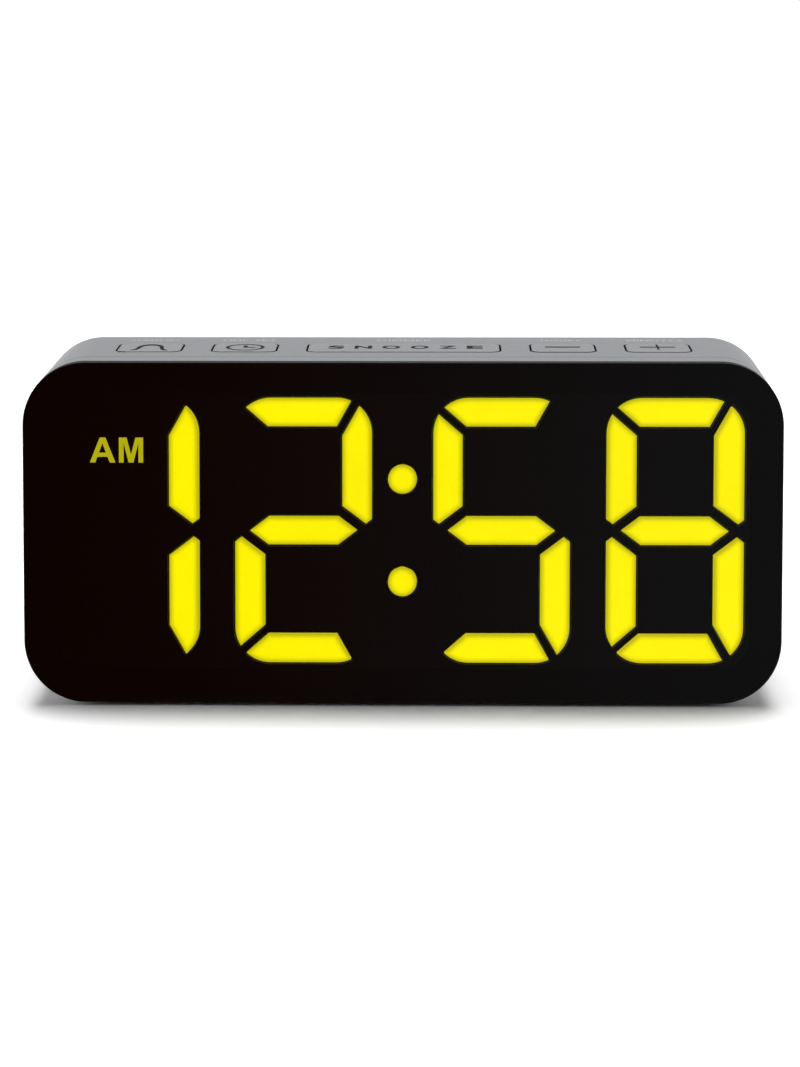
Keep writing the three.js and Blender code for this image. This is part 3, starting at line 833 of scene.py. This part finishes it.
def lettering(name, text, middle, height, gap, material, body, slot, widths=None, total=None, bold=0.0):
    """Capitals set flat about a point with even gaps, stretched one by one or all to a width."""
    letters = []
    for i, letter in enumerate(text):
        if letter == " ":
            letters.append((None, LETTER_SPACE * height))
            continue
        outline, natural = capital(f"{name}_{i}", letter, height, bold)
        width = widths[i] if widths else natural
        outline.transform(Matrix.Diagonal((width / natural, 1, 1, 1)))
        letters.append((outline, width))
    length = sum(width for _, width in letters) + gap * (len(text) - 1)
    stretch = Matrix.Diagonal((total / length if total else 1.0, 1, 1, 1))
    joined = bmesh.new()
    at = -length / 2
    for outline, width in letters:
        if outline is not None:
            start = Matrix.Translation((at, -height / 2, 0))
            outline.transform(Matrix.Translation(middle) @ stretch @ start)
            add_mesh(joined, outline)
        at += width + gap
    piece = make_object(name, joined, [material], body)


SNOOZE_HEIGHT = 4.1 * MM
SNOOZE_GAP = 2.25 * MM
SNOOZE_WIDTHS = [width * MM for width in (3.6, 3.9, 4.1, 4.1, 4.0, 3.6)]
SNOOZE_SETBACK = 0.65 * MM
SNOOZE_SHIFT = 0.4 * MM
SNOOZE_BOLD = 0.2 * MM
LABEL_HEIGHT = 1.7 * MM
LABEL_GAP = 0.4 * MM
LABEL_SETBACK = 11.0 * MM  # from the middle of the keys to the labels behind them

snooze_middle = behind("snooze_key", SNOOZE_SETBACK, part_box("snooze_key")[1].z + INK_LIFT)
lettering(
    "snooze_print",
    "SNOOZE",
    snooze_middle + ACROSS * SNOOZE_SHIFT,
    SNOOZE_HEIGHT,
    SNOOZE_GAP,
    dark_ink,
    "snooze_key",
    "keys",
    widths=SNOOZE_WIDTHS,
    bold=SNOOZE_BOLD,
)
for key, words, length in (
    ("alarm", "ALARM SET", 11.2 * MM),
    ("time", "TIME SET", 12.6 * MM),
    ("snooze", "DIMMER", 12.3 * MM),
    ("minus", "HOURS", 9.0 * MM),
    ("plus", "MINUTES", 12.3 * MM),
):
    middle = behind(f"{key}_key", LABEL_SETBACK, housing_top + INK_LIFT)
    form = (LABEL_HEIGHT, LABEL_GAP, pale_ink, "case", "silver")
    lettering(f"{key}_label", words, middle, *form, total=length)

# ---- Rear and inside --------------------------------------------------------------------

for corner in ("upper_left", "upper_right", "lower_left", "lower_right"):
    rebuilt(f"case_screw_{corner}", 0.1 * MM, [screw_steel])
for place in ("front_left", "front_right", "rear_left", "rear_right"):
    rebuilt(f"foot_{place}", 0.35 * MM, [rubber], segments=3)
rebuilt("dc_inlet", 0.12 * MM, [inlet_black])
rebuilt("backup_cell", 0.08 * MM, [steel])
rebuilt("cell_clip", 0.06 * MM, [steel])
rebuilt("cell_contact", 0.06 * MM, [steel])
rebuilt("speaker", 0.2 * MM, [speaker_black])


def paint_node(node, material):
    """Gives a CAD node, shown as it is, its material."""
    mesh = nodes[node].data
    mesh.materials.clear()
    mesh.materials.append(material)


paint_node("display_housing", matte_black)
paint_node("main_board", board_green)
paint_node("key_board", board_green)
paint_node("key_cable", cable_plastic)
paint_node("am_indicator", unlit)
for name in KEYS:
    paint_node(f"{name}_switch", switch_black)
for part in frame["record"]["subparts"]:
    if part["material_slot"] == "segment_dark":
        paint_node(part["node"], unlit)

# ---- Floor, light and camera ------------------------------------------------------------

FLOOR_HALF = 4.0
FLOOR_GAP = 0.05 * MM  # keeps the floor off the faces of the feet
PAPER_WHITE = (0.94, 0.94, 0.94)


def floor():
    made = bmesh.new()
    corners = ((-1, -1), (1, -1), (1, 1), (-1, 1))
    verts = [made.verts.new((x * FLOOR_HALF, y * FLOOR_HALF, -FLOOR_GAP)) for x, y in corners]
    made.faces.new(verts)
    mesh = bpy.data.meshes.new("floor")
    made.to_mesh(mesh)
    made.free()
    paper = Nodes("white_paper")
    cloud = paper.noise(3)
    paper.feed("Base Color", paper.blend(paper.span(cloud, 0, 1), (0.93, 0.93, 0.93), PAPER_WHITE))
    paper.set(Roughness=0.9, Specular_IOR_Level=0.0)
    mesh.materials.append(paper.material)
    plane = bpy.data.objects.new("floor", mesh)
    bpy.context.scene.collection.objects.link(plane)
    plane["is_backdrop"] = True


floor()

FRONT_LEVEL = 0.08  # dim in front, so that the floor before the clock holds its soft shadow
REAR_LEVEL = 0.52
HORIZON_LEVEL = 0.44  # extra low down behind, which the top and sides mirror at a slant
LEFT_LEVEL = 2.4  # extra at the sides
RIGHT_LEVEL = 1.4
CURTAIN_LEFT = (0.09, 0.02, 0.012)  # dark cloth straight in front, which the lens mirrors
CURTAIN_RIGHT = (0.14, 0.14, 0.14)
KEY_STRENGTH = 1.92  # of each of the two
KEY_ELEVATION = 69.8  # degrees, above and behind the clock
KEY_TURN = 24  # degrees to either side of straight behind
KEY_SOFTNESS = 21  # degrees across


def studio():
    """A soft white tent, bright behind and at the sides and dim in front, and two soft key lights.

    The camera sees plain white behind the floor instead of the tent."""
    world = bpy.data.worlds.new("studio")
    bpy.context.scene.world = world
    world.use_nodes = True
    tree = world.node_tree
    tree.nodes.clear()

    def add(kind, **settings):
        node = tree.nodes.new(kind)
        for key, value in settings.items():
            setattr(node, key, value)
        return node

    def math_node(operation, *values):
        node = add("ShaderNodeMath", operation=operation)
        for i, value in enumerate(values):
            if isinstance(value, bpy.types.NodeSocket):
                tree.links.new(value, node.inputs[i])
            else:
                node.inputs[i].default_value = value
        return node.outputs[0]

    def ramp(value, start, end, low, high):
        node = add("ShaderNodeMapRange", interpolation_type="SMOOTHSTEP")
        tree.links.new(value, node.inputs["Value"])
        for key, number in (("From Min", start), ("From Max", end), ("To Min", low), ("To Max", high)):
            node.inputs[key].default_value = number
        return node.outputs["Result"]

    direction = add("ShaderNodeTexCoord").outputs["Generated"]
    parts = add("ShaderNodeSeparateXYZ")
    tree.links.new(direction, parts.inputs[0])
    x, y, z = parts.outputs
    rear = ramp(y, -0.4, 0.3, FRONT_LEVEL, REAR_LEVEL)
    horizon = math_node("MULTIPLY", ramp(y, 0.0, 0.5, 0, HORIZON_LEVEL), ramp(z, 0.6, 0.1, 0, 1))
    not_front = ramp(y, -0.7, 0.0, 0, 1)
    both = math_node("ADD", ramp(x, -0.4, -0.9, 0, LEFT_LEVEL), ramp(x, 0.4, 0.9, 0, RIGHT_LEVEL))
    low_down = ramp(z, 0.75, 0.3, 0, 1)
    sides = math_node("MULTIPLY", math_node("MULTIPLY", both, not_front), low_down)
    level = math_node("ADD", math_node("ADD", rear, horizon), sides)
    white = add("ShaderNodeCombineColor")
    for channel in white.inputs:
        tree.links.new(level, channel)
    cloth = add("ShaderNodeMix", data_type="RGBA")
    tree.links.new(ramp(x, -0.16, 0.16, 0, 1), cloth.inputs["Factor"])
    cloth.inputs[6].default_value = (*CURTAIN_LEFT, 1)
    cloth.inputs[7].default_value = (*CURTAIN_RIGHT, 1)
    curtain = math_node("MULTIPLY", ramp(y, -0.75, -0.92, 0, 1), ramp(z, 0.35, 0.22, 0, 1))
    dimmed = add("ShaderNodeMix", data_type="RGBA")
    tree.links.new(curtain, dimmed.inputs["Factor"])
    tree.links.new(white.outputs[0], dimmed.inputs[6])
    tree.links.new(cloth.outputs[2], dimmed.inputs[7])

    seen = add("ShaderNodeLightPath").outputs["Is Camera Ray"]
    light = add("ShaderNodeBackground")
    tree.links.new(dimmed.outputs[2], light.inputs["Color"])
    backdrop = add("ShaderNodeBackground")
    backdrop.inputs["Color"].default_value = (1, 1, 1, 1)
    chosen = add("ShaderNodeMixShader")
    tree.links.new(seen, chosen.inputs[0])
    tree.links.new(light.outputs[0], chosen.inputs[1])
    tree.links.new(backdrop.outputs[0], chosen.inputs[2])
    output = add("ShaderNodeOutputWorld")
    tree.links.new(chosen.outputs[0], output.inputs["Surface"])

    for side, turn in (("left", KEY_TURN), ("right", -KEY_TURN)):
        data = bpy.data.lights.new(f"key_light_{side}", "SUN")
        data.energy = KEY_STRENGTH
        data.angle = math.radians(KEY_SOFTNESS)
        lamp = bpy.data.objects.new(data.name, data)
        lamp.rotation_euler = (math.radians(KEY_ELEVATION - 90), 0, math.radians(turn))
        bpy.context.scene.collection.objects.link(lamp)


studio()

CAMERA_FROM_TOP_EDGE = Vector((9.3, -577.6, 95.0)) * MM  # from the middle of the lens's top edge
CAMERA_PITCH = 12.95  # degrees down
CAMERA_YAW = -0.98  # degrees to the left of straight ahead
CAMERA_ROLL = -0.1
LENS_MM = 91.18
SENSOR_MM = 36


def camera():
    data = bpy.data.cameras.new("camera")
    data.lens = LENS_MM
    data.sensor_width = SENSOR_MM
    data.clip_start = 0.01
    data.clip_end = 20
    eye = bpy.data.objects.new("camera", data)
    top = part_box("front_lens")[1].z
    on_face = on_display(Vector((0, 0, top)))
    top_edge = Vector((0, on_face.y + (on_face.z - top) * OUT.z / OUT.y, top))
    eye.location = top_edge + CAMERA_FROM_TOP_EDGE
    turn = Matrix.Rotation(math.radians(-CAMERA_YAW), 4, "Z")
    tilt = Matrix.Rotation(math.radians(90 - CAMERA_PITCH), 4, "X")
    roll = Matrix.Rotation(math.radians(CAMERA_ROLL), 4, "Z")
    eye.rotation_euler = (turn @ tilt @ roll).to_euler()
    bpy.context.scene.collection.objects.link(eye)
    bpy.context.scene.camera = eye


camera()
scene = bpy.context.scene
scene.view_settings.view_transform = "Standard"
scene.view_settings.look = "None"

low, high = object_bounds()
